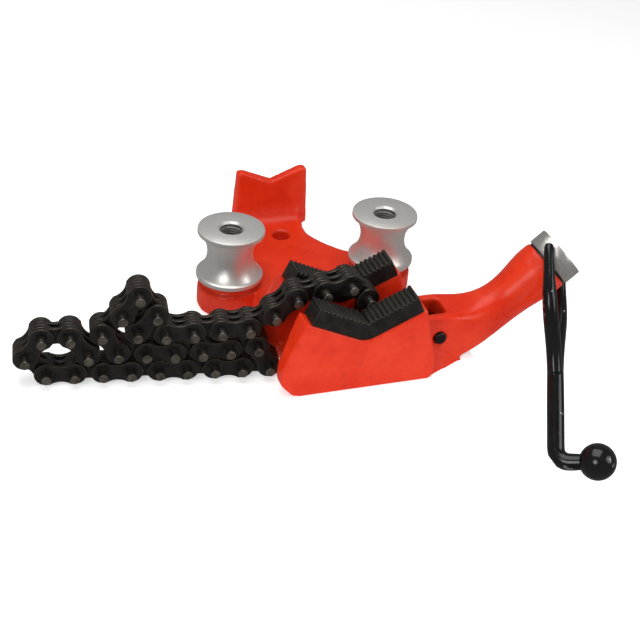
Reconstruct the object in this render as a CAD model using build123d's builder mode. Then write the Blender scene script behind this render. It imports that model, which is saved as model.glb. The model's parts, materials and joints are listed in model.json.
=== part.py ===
from build123d import *
import os
from math import atan, cos, radians, sin

# Top-screw bench chain vise.  X runs along the chain slot towards the crank arm, Y runs back
# over the bending rollers to the pipe rest, Z is up from the bench.  The origin is on the
# bench face, under the middle of the jaws.
os.makedirs("parts", exist_ok=True)

# ---- driving dimensions, mm and degrees ---------------------------------------------------
CHEEK_INNER = 16.6        # each cheek's inner face, from the middle plane of the chain slot
CHEEK_OUTER = 34.0
JAW_INNER = 16.15
JAW_OUTER = 32.95
JAW_HALF_LENGTH = 35.3    # from the bottom of the vee to a tip, along X
JAW_TIP_Z = 69.5
JAW_VEE_Z = 53.2
JAW_THICKNESS = 13.5
JAW_KEEL_RADIUS = 14.0    # round under the jaw's vee
TEETH_PER_ARM = 11
TOOTH_DEPTH = 1.5
DOWEL_RADIUS = 3.0
DOWEL_X = 21.0
DOWEL_BOTTOM = 34.0
DOWEL_LENGTH = 20.0

PLATE_TOP = 18.0
SLOT_FLOOR_TOP = 12.0
BOLT_HOLE_RADIUS = 6.75
REAR_HOLE_Y = 152.9
SLOT_HOLE_X = -22.0
SLOT_FLOOR_LEFT = -46.0
SLOT_FLOOR_RIGHT = 13.0

ROLLER_X = 60.4
ROLLER_Y = 93.0
ROLLER_RADIUS = 24.7
ROLLER_WAIST_RADIUS = 17.0
ROLLER_RIM = 3.8
ROLLER_BOTTOM = 24.35
ROLLER_TOP = 64.1
ROLLER_BORE_RADIUS = 8.5
ROLLER_BORE_DEPTH = 24.0
ROLLER_STUD_RADIUS = 7.0
LOBE_RADIUS = 23.5
BOSS_RADIUS = 20.0
BOSS_TOP = 23.0
WASHER_THICKNESS = 1.3
JOURNAL_RADIUS = 8.0
RUNNING_GAP = 0.05
HEAD_POCKET_RADIUS = 11.5
HEAD_POCKET_DEPTH = 9.0

REST_FRONT = 180.9        # pipe rest wall, front and back faces
REST_BACK = 190.2
REST_VEE_Z = 50.3
REST_TIP = ((28.5, 59.8), (24.2, 60.2))   # outer and inner corner of an arm's blunt tip, X and Z
REST_FOOT = 31.5          # half width of the wall at the bench
REST_FILLET_DEPTH = 14.0  # how far the hollow fillet runs out over the plate
REST_FILLET_TOP = 34.0
REST_FILLET_HALF = 23.5

SCREW_TILT = 41.0         # screw axis above the horizontal
NUT_X = 156.0             # middle of the feed nut
NUT_Z = 68.0
NUT_RADIUS = 19.75
NUT_THICKNESS = 13.0
THRUST_WASHER = 1.5
BARREL_RADIUS = 19.3
NECK_RADIUS = 16.3
ROOT_WIDTH = 35.0
ROOT_TOP = 38.0
ROOT_START = 45.5
WEB_X = (50.0, 84.0)      # webs from the arm's foot out to the cheeks' lower corners
WEB_REACH = 33.0
WEB_HEIGHT = 22.0
WEB_TIP = 0.6             # height of a web where it runs out
SCREW_RADIUS = 8.0
SCREW_TRAVEL = 20.0
KEY_DEPTH = 13.5           # key pin below the nut's middle, along the screw
KEY_RADIUS = 2.5
KEYWAY_DEPTH = 2.5
SCREW_PROUD = 4.5         # screw end beyond the nut's middle
FORK_HEIGHT = 11.6
FORK_TIP = 8.0            # fork beyond the end of its slot
SLOT_SPARE = 2.0          # room at each end of the fork's slots and the keyway
FORK_BRIDGE = 11.0        # from the anchor pin to the solid part of the fork
CHAIN_WAY_WIDTH = 24.6    # hollow for the chain and the fork inside the arm
CHAIN_WAY_TOP = 23.3
CHAIN_WAY_END = 93.0
FORK_WAY_HEIGHT = 18.6
FORK_WAY_END = 62.0       # below the nut's middle, where the wide hollow ends
ARM_OPENING_X = (41.9, 70.5)
ARM_OPENING_HALF = 9.5
ANCHOR_DEPTH = 65.2       # nut middle to the chain's anchor pin, along the screw
FORK_INNER = 8.75
FORK_OUTER = 11.7
GUIDE_PIN_X = 64.5
GUIDE_PIN_Z = 21.0
GUIDE_PIN_RADIUS = 4.5

CRANK_SPIN = 60.0         # pivot axis round the screw axis, from straight forward
CRANK_FOLD = 128.3        # crank shank from the screw axis
CRANK_LENGTH = 149.3
CRANK_LEG = 29.1
CRANK_ROD_RADIUS = 6.3
CRANK_BEND = 11.0
TINE_INNER = 20.6
TINE_OUTER = 27.1
TINE_WIDTH = 9.2
KNOB_RADIUS = 13.2
KNOB_STEM_RADIUS = 4.5
PIVOT_RADIUS = 4.0
PIVOT_HOLE_START = 11.5   # pivot holes in the nut, from the screw's axis
PIVOT_START = 12.0

CHAIN_PITCH = 19.05
LOBE = 8.2                # end radius of a link plate
WAIST_CUT = 12.67         # radius of the hollow in a plate's edge, tangent to both lobes
WAIST = 5.9               # half height of a plate at its waist
PLATE = 2.9
PLATE_GAP = 0.5
CHAIN_PIN_RADIUS = 3.25
WIDE_PIN = 15.5           # half length of a pin that stands out to catch the cheeks
FLUSH_PIN = 8.6
RIVET_GAP = 0.02
LOOSE_GAP = 0.3
HINGE_GAP = 0.08

# Heading of every link seen from the front, in degrees, from the anchor pin to the free end.
HEADINGS = (
    [214, 197, 179, 182, 148, 106, 102, 138]      # up out of the arm and over the slot
    + [189, 190, 221, 208]                        # down to the pile
    + [184, 183, 181, 175, 47, 128, 234, 225]     # top row and its loop
    + [304, 358, 358, 1, 3, 4, 298]               # middle row, back towards the cheeks
    + [180] * 8                                   # bottom row, on the bench
    + [136, 54, 2, 308]                           # the free end, curled over
)
FIRST_WIDE_LINK = 5
PILE_YAW = 9.0
YAW_STEPS = {10: 3.0, 11: 6.0, 12: 6.0}           # the turn is shared by the links at the mouth


def save(part, name):
    part.label = name
    export_step(part, f"parts/{name}.step")


# ---- the screw's own frame ---------------------------------------------------------------
TILT = radians(SCREW_TILT)
nut_middle = Vector(NUT_X, 0, NUT_Z)
screw_dir = Vector(cos(TILT), 0, sin(TILT))


def screw_plane(distance):
    """Plane square to the screw axis, at a distance beyond the nut's middle; local X is Y."""
    return Plane(origin=nut_middle + screw_dir * distance, x_dir=(0, 1, 0), z_dir=screw_dir)


# ---- jaws ---------------------------------------------------------------------------------
slope = atan((JAW_TIP_Z - JAW_VEE_Z) / JAW_HALF_LENGTH)
arm_length = JAW_HALF_LENGTH / cos(slope)
tooth = arm_length / TEETH_PER_ARM
heel = (JAW_HALF_LENGTH + JAW_THICKNESS * sin(slope), JAW_TIP_Z - JAW_THICKNESS * cos(slope))
keel_z = JAW_VEE_Z - JAW_THICKNESS / cos(slope)


def arm_point(side, along, depth):
    x = along * cos(slope) + depth * sin(slope)
    return (side * x, JAW_VEE_Z + along * sin(slope) - depth * cos(slope))


def toothed_arm(side):
    """Points along one toothed arm, from the vee to the tip."""
    points = []
    for i in range(TEETH_PER_ARM):
        points.append(arm_point(side, (i + 0.12) * tooth, TOOTH_DEPTH))
        points.append(arm_point(side, (i + 0.45) * tooth, 0))
        points.append(arm_point(side, (i + 0.88) * tooth, 0))
    return points


for name, start in (("front_jaw", JAW_INNER), ("rear_jaw", -JAW_OUTER)):
    with BuildPart() as jaw:
        with BuildSketch(Plane.XZ.offset(start)) as profile:
            with BuildLine():
                Polyline(
                    (0, JAW_VEE_Z - TOOTH_DEPTH),
                    *toothed_arm(1),
                    (JAW_HALF_LENGTH, JAW_TIP_Z),
                    heel,
                    (0, keel_z),
                    (-heel[0], heel[1]),
                    (-JAW_HALF_LENGTH, JAW_TIP_Z),
                    *reversed(toothed_arm(-1)),
                    close=True,
                )
            make_face()
            fillet(profile.vertices().sort_by(Axis.Y)[0], JAW_KEEL_RADIUS)
        extrude(amount=JAW_OUTER - JAW_INNER)
        middle_y = (JAW_INNER + JAW_OUTER) / 2 * (-1 if start > 0 else 1)
        with BuildSketch(Plane.XY.offset(keel_z - 1)):
            with Locations((-DOWEL_X, middle_y), (DOWEL_X, middle_y)):
                Circle(DOWEL_RADIUS)
        extrude(amount=DOWEL_BOTTOM + DOWEL_LENGTH + 0.5 - keel_z + 1, mode=Mode.SUBTRACT)
    save(jaw.part, name)
    with BuildPart() as dowels:
        with BuildSketch(Plane.XY.offset(DOWEL_BOTTOM)):
            with Locations((-DOWEL_X, middle_y), (DOWEL_X, middle_y)):
                Circle(DOWEL_RADIUS - RIVET_GAP)
        extrude(amount=DOWEL_LENGTH)
        chamfer(dowels.edges().filter_by(GeomType.CIRCLE), 0.5)
    save(dowels.part, f"{name}_dowels")

# ---- body casting -------------------------------------------------------------------------
with BuildPart() as body_casting:
    # base plate with a lobe under each roller and a waist at the rear bolt
    with BuildSketch():
        with BuildLine():
            right = [
                Line((0, 17), (50, 17)),
                Line((50, 17), (50, 30)),
                ThreePointArc((50, 30), (41, 50), (45.3, 75.0)),
                ThreePointArc((45.3, 75.0), (ROLLER_X + LOBE_RADIUS, ROLLER_Y), (51, 114.5)),
                ThreePointArc((51, 114.5), (33.5, 131), (22, 152)),
                ThreePointArc((22, 152), (23, 170), (REST_FOOT, REST_BACK)),
                Line((REST_FOOT, REST_BACK), (0, REST_BACK)),
            ]
            mirror(right, about=Plane.YZ)
        make_face()
    extrude(amount=PLATE_TOP)
    with BuildSketch(Plane.XY.offset(PLATE_TOP)):
        with Locations((-ROLLER_X, ROLLER_Y), (ROLLER_X, ROLLER_Y)):
            Circle(BOSS_RADIUS)
    extrude(amount=BOSS_TOP - PLATE_TOP)
    # pipe rest
    with BuildSketch(Plane.XZ.offset(-REST_BACK)) as rest:
        with BuildLine():
            Polyline(
                (-REST_FOOT, 10), *((-x, z) for x, z in REST_TIP), (0, REST_VEE_Z),
                *reversed(REST_TIP), (REST_FOOT, 10), close=True,
            )
        make_face()
        fillet(rest.vertices().sort_by(Axis.Y)[-4:], 1.8)
    extrude(amount=REST_BACK - REST_FRONT)
    with BuildSketch(Plane.YZ):
        with BuildLine():
            toe = REST_FRONT - REST_FILLET_DEPTH
            inside = (REST_FRONT + 1, PLATE_TOP - 1)
            Polyline((toe, PLATE_TOP), (toe, PLATE_TOP - 1), inside, (REST_FRONT + 1, REST_FILLET_TOP),
                     (REST_FRONT, REST_FILLET_TOP))
            ThreePointArc((REST_FRONT, REST_FILLET_TOP), (REST_FRONT - 4, 23), (toe, PLATE_TOP))
        make_face()
    extrude(amount=REST_FILLET_HALF, both=True)
    # cheeks
    for face in (CHEEK_OUTER, -CHEEK_INNER):
        with BuildSketch(Plane.XZ.offset(face)) as cheek:
            with BuildLine():
                Polyline(
                    (-43.6, 62), (-59.8, 23), (-60.2, 11), (-50, 0),
                    (51.5, 0), (55, 4.5), (53.6, 17.6), (42.6, 62), close=True,
                )
            make_face()
            fillet(cheek.vertices().sort_by(Axis.X)[:2], 8)
            fillet(cheek.vertices().sort_by(Axis.X)[4], 6)
        extrude(amount=-(CHEEK_OUTER - CHEEK_INNER))
    # slot floor
    with BuildSketch(Plane.XY):
        with Locations(((SLOT_FLOOR_LEFT + SLOT_FLOOR_RIGHT) / 2, 0)):
            Rectangle(SLOT_FLOOR_RIGHT - SLOT_FLOOR_LEFT, 2 * CHEEK_INNER + 2)
    extrude(amount=SLOT_FLOOR_TOP)
    # arm: square at the root, necked, then a round barrel
    sections = (
        ((ROOT_START, 0, ROOT_TOP / 2), 0, ROOT_WIDTH, ROOT_TOP, 3.0),
        ((77, 0, ROOT_TOP / 2 + 0.3), 5, ROOT_WIDTH, ROOT_TOP - 0.4, 4.0),
        ((98.5, 0, 24.8), 26, 33.5, 32.5, 10.0),
    )
    for origin, lean, width, height, corner in sections:
        z_dir = (cos(radians(lean)), 0, sin(radians(lean)))
        with BuildSketch(Plane(origin=origin, x_dir=(0, 1, 0), z_dir=z_dir)):
            RectangleRounded(width, height, corner)
    for distance, radius in ((-42, NECK_RADIUS), (-29, 18.0), (-17, BARREL_RADIUS)):
        with BuildSketch(screw_plane(distance)):
            RectangleRounded(2 * radius, 2 * radius, radius - 0.05)
    loft()
    with BuildSketch(screw_plane(-20)):
        Circle(BARREL_RADIUS + 0.2)
    extrude(amount=20 - NUT_THICKNESS / 2 - THRUST_WASHER)
    # webs from the arm's foot to the cheeks
    arm_side = ROOT_WIDTH / 2
    for side in (1, -1):
        for x, reach, height in zip(WEB_X, (WEB_REACH, arm_side + 0.2), (WEB_HEIGHT, WEB_TIP)):
            with BuildSketch(Plane.YZ.offset(x)):
                with BuildLine():
                    Polyline((side * (arm_side - 2), 0), (side * reach, 0),
                             (side * (arm_side - 2), height), close=True)
                make_face()
        loft()
    # trim flush with the bench
    with BuildSketch():
        with Locations((45, 0)):
            Rectangle(120, 60)
    extrude(amount=-20, mode=Mode.SUBTRACT)
    # seats for the jaws
    with BuildSketch(Plane.XZ.offset(CHEEK_OUTER + 1)) as seat:
        with BuildLine():
            reach = 60.0
            rise = (heel[1] - keel_z) / heel[0]
            Polyline(
                (0, keel_z), (reach, keel_z + reach * rise), (reach, 110),
                (-reach, 110), (-reach, keel_z + reach * rise), close=True,
            )
        make_face()
        fillet(seat.vertices().sort_by(Axis.Y)[0], JAW_KEEL_RADIUS)
    extrude(amount=-2 * CHEEK_OUTER - 2, mode=Mode.SUBTRACT)
    # lead-in for the chain's pins at the left mouth of the slot
    with BuildSketch(Plane.XY):
        with BuildLine():
            Polyline(
                (SLOT_FLOOR_LEFT, 16), (SLOT_FLOOR_LEFT, -16), (-70, -27), (-70, 27), close=True,
            )
        make_face()
    extrude(amount=70, mode=Mode.SUBTRACT)
    # chain way under the guide pin, open to the bench, and the opening above it
    with BuildSketch(Plane.XY):
        with Locations(((ARM_OPENING_X[0] + CHAIN_WAY_END) / 2, 0)):
            Rectangle(CHAIN_WAY_END - ARM_OPENING_X[0], CHAIN_WAY_WIDTH)
    extrude(amount=CHAIN_WAY_TOP, mode=Mode.SUBTRACT)
    with BuildSketch(Plane.XY.offset(10)):
        with Locations((sum(ARM_OPENING_X) / 2, 0)):
            Rectangle(ARM_OPENING_X[1] - ARM_OPENING_X[0], 2 * ARM_OPENING_HALF)
    extrude(amount=ROOT_TOP, mode=Mode.SUBTRACT)
    with BuildSketch(screw_plane(-98)):
        Rectangle(CHAIN_WAY_WIDTH, FORK_WAY_HEIGHT)
    extrude(amount=38, mode=Mode.SUBTRACT)
    with BuildSketch(screw_plane(-FORK_WAY_END)):
        Rectangle(CHAIN_WAY_WIDTH, FORK_HEIGHT + 1.8)
    extrude(amount=SCREW_TRAVEL + 15, mode=Mode.SUBTRACT)
    with BuildSketch(screw_plane(-FORK_WAY_END)):
        Circle(SCREW_RADIUS + LOOSE_GAP)
    extrude(amount=FORK_WAY_END, mode=Mode.SUBTRACT)
    # guide pin, key pin, bolt, journal and dowel holes
    with BuildSketch(Plane.XZ.offset(25)):
        with Locations((GUIDE_PIN_X, GUIDE_PIN_Z)):
            Circle(GUIDE_PIN_RADIUS + RIVET_GAP)
    extrude(amount=-50, mode=Mode.SUBTRACT)
    with BuildSketch(Plane(origin=nut_middle - screw_dir * KEY_DEPTH, x_dir=screw_dir, z_dir=(0, 1, 0))):
        Circle(KEY_RADIUS + RIVET_GAP)
    extrude(amount=BARREL_RADIUS + 2, mode=Mode.SUBTRACT)
    with BuildSketch(Plane.XY.offset(-1)):
        with Locations((0, REAR_HOLE_Y), (SLOT_HOLE_X, 0)):
            Circle(BOLT_HOLE_RADIUS)
    extrude(amount=PLATE_TOP + 2, mode=Mode.SUBTRACT)
    for x in (-ROLLER_X, ROLLER_X):
        with Locations((x, ROLLER_Y, 0)):
            Cylinder(HEAD_POCKET_RADIUS, 2 * HEAD_POCKET_DEPTH, mode=Mode.SUBTRACT)
            Cylinder(JOURNAL_RADIUS + RUNNING_GAP, 60, mode=Mode.SUBTRACT)
    for y in (-1, 1):
        with BuildSketch(Plane.XY.offset(DOWEL_BOTTOM)):
            middle_y = y * (JAW_INNER + JAW_OUTER) / 2
            with Locations((-DOWEL_X, middle_y), (DOWEL_X, middle_y)):
                Circle(DOWEL_RADIUS)
        extrude(amount=30, mode=Mode.SUBTRACT)
save(body_casting.part, "body_casting")

# ---- bending rollers ----------------------------------------------------------------------
groove = (ROLLER_TOP - ROLLER_BOTTOM) / 2 - ROLLER_RIM
for side, x in (("left", -ROLLER_X), ("right", ROLLER_X)):
    axis = Axis((x, ROLLER_Y, 0), (0, 0, 1))
    with BuildPart() as roller:
        with BuildSketch(Plane(origin=(x, ROLLER_Y, 0), x_dir=(1, 0, 0), z_dir=(0, -1, 0))):
            with BuildLine():
                mid_z = (ROLLER_BOTTOM + ROLLER_TOP) / 2
                bore_end = ROLLER_TOP - ROLLER_BORE_DEPTH
                Polyline(
                    (ROLLER_RADIUS - 1.2, ROLLER_TOP - ROLLER_RIM),
                    (ROLLER_RADIUS, ROLLER_TOP - ROLLER_RIM + 0.8),
                    (ROLLER_RADIUS, ROLLER_TOP - 0.8),
                    (ROLLER_RADIUS - 0.8, ROLLER_TOP),
                    (ROLLER_BORE_RADIUS + 1.5, ROLLER_TOP),
                    (ROLLER_BORE_RADIUS, ROLLER_TOP - 1.5),
                    (ROLLER_BORE_RADIUS, bore_end),
                    (ROLLER_STUD_RADIUS, bore_end - 1),
                    (ROLLER_STUD_RADIUS, ROLLER_BOTTOM),
                    (ROLLER_RADIUS - 0.8, ROLLER_BOTTOM),
                    (ROLLER_RADIUS, ROLLER_BOTTOM + 0.8),
                    (ROLLER_RADIUS, ROLLER_BOTTOM + ROLLER_RIM - 0.8),
                    (ROLLER_RADIUS - 1.2, ROLLER_BOTTOM + ROLLER_RIM),
                )
                ThreePointArc(
                    (ROLLER_RADIUS - 1.2, ROLLER_BOTTOM + ROLLER_RIM),
                    (ROLLER_WAIST_RADIUS, mid_z),
                    (ROLLER_RADIUS - 1.2, ROLLER_TOP - ROLLER_RIM),
                )
            make_face()
        revolve(axis=axis)
    save(roller.part, f"{side}_roller")
    with BuildPart() as bolt:
        with BuildSketch(Plane.XY.offset(2.0)):
            with Locations((x, ROLLER_Y)):
                RegularPolygon(10.4, 6)
        extrude(amount=HEAD_POCKET_DEPTH - 2.0 - RUNNING_GAP)
        with BuildSketch(Plane.XY.offset(HEAD_POCKET_DEPTH - 1.0)):
            with Locations((x, ROLLER_Y)):
                Circle(JOURNAL_RADIUS)
        extrude(amount=ROLLER_BOTTOM - HEAD_POCKET_DEPTH + 1.0 - RIVET_GAP)
        with BuildSketch(Plane.XY.offset(ROLLER_BOTTOM - 1.0)):
            with Locations((x, ROLLER_Y)):
                Circle(ROLLER_STUD_RADIUS - RIVET_GAP)
        extrude(amount=14.0)
    save(bolt.part, f"{side}_roller_bolt")
    with BuildPart() as washer:
        with BuildSketch(Plane.XY.offset(BOSS_TOP)):
            with Locations((x, ROLLER_Y)):
                Circle(BOSS_RADIUS - 2)
                Circle(JOURNAL_RADIUS + RUNNING_GAP, mode=Mode.SUBTRACT)
        extrude(amount=WASHER_THICKNESS)
    save(washer.part, f"{side}_roller_washer")

# ---- draw screw and feed nut --------------------------------------------------------------
with BuildPart() as draw_screw:
    # fork that straddles the chain; its slots run on the anchor pin
    with BuildSketch(screw_plane(-ANCHOR_DEPTH - SCREW_TRAVEL - FORK_TIP)):
        Rectangle(2 * FORK_OUTER, FORK_HEIGHT)
        Rectangle(2 * FORK_INNER, FORK_HEIGHT + 1, mode=Mode.SUBTRACT)
    extrude(amount=SCREW_TRAVEL + FORK_TIP + FORK_BRIDGE)
    with BuildSketch(screw_plane(-ANCHOR_DEPTH + FORK_BRIDGE)):
        Rectangle(2 * FORK_OUTER, FORK_HEIGHT)
    extrude(amount=5)
    with BuildSketch(Plane(
        origin=nut_middle - screw_dir * (ANCHOR_DEPTH + SCREW_TRAVEL / 2),
        x_dir=screw_dir, z_dir=(0, 1, 0),
    )):
        SlotCenterToCenter(SCREW_TRAVEL + 2 * SLOT_SPARE, 2 * (CHAIN_PIN_RADIUS + LOOSE_GAP))
    extrude(amount=20, both=True, mode=Mode.SUBTRACT)
    with BuildSketch(screw_plane(-ANCHOR_DEPTH + FORK_BRIDGE + 1)):
        Circle(SCREW_RADIUS)
    extrude(amount=ANCHOR_DEPTH - FORK_BRIDGE - 1 + SCREW_PROUD)
    # keyway for the key pin, on the rear side of the shank
    with BuildSketch(Plane(
        origin=nut_middle - screw_dir * (KEY_DEPTH + SCREW_TRAVEL / 2),
        x_dir=screw_dir, z_dir=(0, 1, 0),
    )):
        SlotCenterToCenter(SCREW_TRAVEL + 2 * SLOT_SPARE, 2 * (KEY_RADIUS + LOOSE_GAP))
    extrude(amount=SCREW_RADIUS + 2, mode=Mode.SUBTRACT)
    with BuildSketch(screw_plane(-45)):
        Circle(SCREW_RADIUS - KEYWAY_DEPTH)
    extrude(amount=45)
save(draw_screw.part, "draw_screw")

with BuildPart() as key_pin:
    with BuildSketch(Plane(
        origin=nut_middle - screw_dir * KEY_DEPTH + Vector(0, SCREW_RADIUS - 2.2, 0),
        x_dir=screw_dir, z_dir=(0, 1, 0),
    )):
        Circle(KEY_RADIUS)
    extrude(amount=BARREL_RADIUS - SCREW_RADIUS + 1.8)
save(key_pin.part, "key_pin")

with BuildPart() as thrust_washer:
    with BuildSketch(screw_plane(-NUT_THICKNESS / 2 - THRUST_WASHER)):
        Circle(NUT_RADIUS - 1.6)
        Circle(SCREW_RADIUS + LOOSE_GAP, mode=Mode.SUBTRACT)
    extrude(amount=THRUST_WASHER - RUNNING_GAP)
save(thrust_washer.part, "thrust_washer")

SPIN = radians(CRANK_SPIN)
FOLD = radians(CRANK_FOLD)
pivot_dir = Vector(0, -1, 0) * cos(SPIN) + Vector(-sin(TILT), 0, cos(TILT)) * sin(SPIN)
side_dir = screw_dir.cross(pivot_dir)
shank_dir = screw_dir * cos(FOLD) + side_dir * sin(FOLD)
leg_dir = pivot_dir.cross(shank_dir)

with BuildPart() as feed_nut:
    with BuildSketch(screw_plane(-NUT_THICKNESS / 2)):
        Circle(NUT_RADIUS)
        Circle(SCREW_RADIUS + RUNNING_GAP, mode=Mode.SUBTRACT)
    extrude(amount=NUT_THICKNESS)
    rims = feed_nut.edges().filter_by(GeomType.CIRCLE).group_by(SortBy.RADIUS)[-1]
    chamfer(rims, 0.8)
    for side in (1, -1):
        with BuildSketch(Plane(
            origin=nut_middle + pivot_dir * side * PIVOT_HOLE_START, z_dir=pivot_dir * side,
        )):
            Circle(PIVOT_RADIUS + RIVET_GAP)
        extrude(amount=12, mode=Mode.SUBTRACT)
save(feed_nut.part, "feed_nut")

# ---- crank --------------------------------------------------------------------------------
with BuildPart() as crank_pivots:
    for side in (1, -1):
        with BuildSketch(Plane(
            origin=nut_middle + pivot_dir * side * PIVOT_START, z_dir=pivot_dir * side,
        )):
            Circle(PIVOT_RADIUS)
        extrude(amount=TINE_OUTER - PIVOT_START + 0.4)
save(crank_pivots.part, "crank_pivots")

with BuildPart() as crank_handle:
    # fork in the plane of the shank and the pivot
    with BuildSketch(Plane(origin=nut_middle, x_dir=shank_dir, z_dir=leg_dir)):
        with BuildLine():
            half = [
                Line((-6, TINE_INNER), (-6, TINE_OUTER)),
                Line((-6, TINE_OUTER), (30, TINE_OUTER)),
                Bezier((30, TINE_OUTER), (52, TINE_OUTER), (62, CRANK_ROD_RADIUS - 0.5),
                       (88, CRANK_ROD_RADIUS - 0.5)),
                Line((88, CRANK_ROD_RADIUS - 0.5), (88, 0)),
            ]
            inside = [
                Line((-6, TINE_INNER), (28, TINE_INNER)),
                Bezier((28, TINE_INNER), (48, TINE_INNER), (56, 0.8), (76, 0)),
            ]
            mirror(half + inside, about=Plane.XZ)
        make_face()
    extrude(amount=TINE_WIDTH / 2, both=True)
    # round the tine ends about the pivot
    for side in (1, -1):
        with BuildSketch(Plane(
            origin=nut_middle + pivot_dir * side * (TINE_INNER - 1),
            x_dir=shank_dir, z_dir=pivot_dir * side,
        )):
            with Locations((-5, 0)):
                Rectangle(10, 14)
            Circle(TINE_WIDTH / 2, mode=Mode.SUBTRACT)
        extrude(amount=10, mode=Mode.SUBTRACT)
        with BuildSketch(Plane(origin=nut_middle, z_dir=pivot_dir * side)):
            Circle(PIVOT_RADIUS + RUNNING_GAP)
        extrude(amount=40, mode=Mode.SUBTRACT)
    # round shank, bend and leg
    with BuildLine() as rod:
        start = nut_middle + shank_dir * 80
        corner = nut_middle + shank_dir * CRANK_LENGTH
        end = corner + leg_dir * (CRANK_LEG - KNOB_RADIUS + 1.0)
        FilletPolyline(start, corner, end, radius=CRANK_BEND)
    with BuildSketch(Plane(origin=start, z_dir=shank_dir)):
        Circle(CRANK_ROD_RADIUS)
    sweep(path=rod.wire())
    with BuildSketch(Plane(origin=end - leg_dir * 0.5, z_dir=leg_dir)):
        Circle(KNOB_STEM_RADIUS - RIVET_GAP)
    extrude(amount=14)
save(crank_handle.part, "crank_handle")

with BuildPart() as crank_knob:
    with Locations(corner + leg_dir * CRANK_LEG):
        Sphere(KNOB_RADIUS)
    with BuildSketch(Plane(origin=end - leg_dir * 4, z_dir=leg_dir)):
        Circle(KNOB_RADIUS)
    extrude(amount=4 + 0.02, mode=Mode.SUBTRACT)
    with BuildSketch(Plane(origin=end - leg_dir * 1, z_dir=leg_dir)):
        Circle(KNOB_STEM_RADIUS)
    extrude(amount=15, mode=Mode.SUBTRACT)
save(crank_knob.part, "crank_knob")

# ---- guide pin ----------------------------------------------------------------------------
with BuildPart() as chain_guide_pin:
    with BuildSketch(Plane.XZ.offset(ROOT_WIDTH / 2 + 0.2)):
        with Locations((GUIDE_PIN_X, GUIDE_PIN_Z)):
            Circle(GUIDE_PIN_RADIUS)
    extrude(amount=-ROOT_WIDTH - 0.4)
    chamfer(chain_guide_pin.edges().filter_by(GeomType.CIRCLE), 0.5)
save(chain_guide_pin.part, "chain_guide_pin")


# ---- chain --------------------------------------------------------------------------------
outer_offsets = (-2 * (PLATE + PLATE_GAP), 0, 2 * (PLATE + PLATE_GAP))
inner_offsets = (-(PLATE + PLATE_GAP), PLATE + PLATE_GAP)
HINGE_HOLES = ((12, 0), (36, 0), (36, 1), (38, 0), (38, 1))   # link and end that join two bodies


def link_plane(pin, heading, yaw, across=0.0):
    """Local X along the link, local Z along its pins, across mm behind the middle."""
    h, w = radians(heading), radians(yaw)
    along = Vector(cos(h) * cos(w), -cos(h) * sin(w), sin(h))
    pin_dir = Vector(sin(w), cos(w), 0)
    return Plane(origin=pin + pin_dir * across, x_dir=along, z_dir=pin_dir)


def make_link(pin, heading, yaw, offsets, holes, reaches):
    """Waisted plates with two holes, and a riveted pin for each reach to either side."""
    with BuildPart() as link:
        for offset in offsets:
            with BuildSketch(link_plane(pin, heading, yaw, offset - PLATE / 2)):
                with Locations((CHAIN_PITCH / 2, 0)):
                    SlotCenterToCenter(CHAIN_PITCH, 2 * LOBE)
                with Locations(
                    (CHAIN_PITCH / 2, WAIST + WAIST_CUT), (CHAIN_PITCH / 2, -WAIST - WAIST_CUT)
                ):
                    Circle(WAIST_CUT, mode=Mode.SUBTRACT)
                for place, hole in zip((0, CHAIN_PITCH), holes):
                    with Locations((place, 0)):
                        Circle(hole, mode=Mode.SUBTRACT)
            extrude(amount=PLATE)
        for place, reach in reaches:
            with BuildSketch(link_plane(pin, heading, yaw, -reach)):
                with Locations((place, 0)):
                    Circle(CHAIN_PIN_RADIUS)
            extrude(amount=2 * reach)
    return link.part


pin = nut_middle - screw_dir * ANCHOR_DEPTH
for number, heading in enumerate(HEADINGS, start=1):
    yaw = YAW_STEPS.get(number, 0.0 if number < 10 else PILE_YAW)
    if number % 2:
        reach = WIDE_PIN if number >= FIRST_WIDE_LINK else FLUSH_PIN
        first_reach = FORK_OUTER if number == 1 else reach
        offsets = outer_offsets
        gaps = (RIVET_GAP, RIVET_GAP)
        reaches = ((0, first_reach), (CHAIN_PITCH, reach))
    else:
        offsets = inner_offsets
        gaps = [HINGE_GAP if (number, end) in HINGE_HOLES else LOOSE_GAP for end in (0, 1)]
        reaches = ()
    holes = [CHAIN_PIN_RADIUS + gap for gap in gaps]
    save(make_link(pin, heading, yaw, offsets, holes, reaches), f"chain_link_{number:02d}")
    pin = link_plane(pin, heading, yaw).from_local_coords(Vector(CHAIN_PITCH, 0, 0))
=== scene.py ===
# %% [markdown]
# # A bench chain vise, finished in Blender
#
# The vise comes out of a CAD model: every piece already has its right size and place, and the
# pieces that move are grouped into bodies.  This lesson gives each piece the look of the real
# thing: a sand-cast body in gloss paint, black toothed jaws, an oiled leaf chain, turned
# aluminium rollers, a bright steel feed nut and an enamelled crank.
#
# The first cell loads the model.  From here on all lengths are in metres.

# %% Load the model
import bpy
import bmesh
import json
from math import asin, cos, pi, radians, sin
from mathutils import Matrix, Vector


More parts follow.
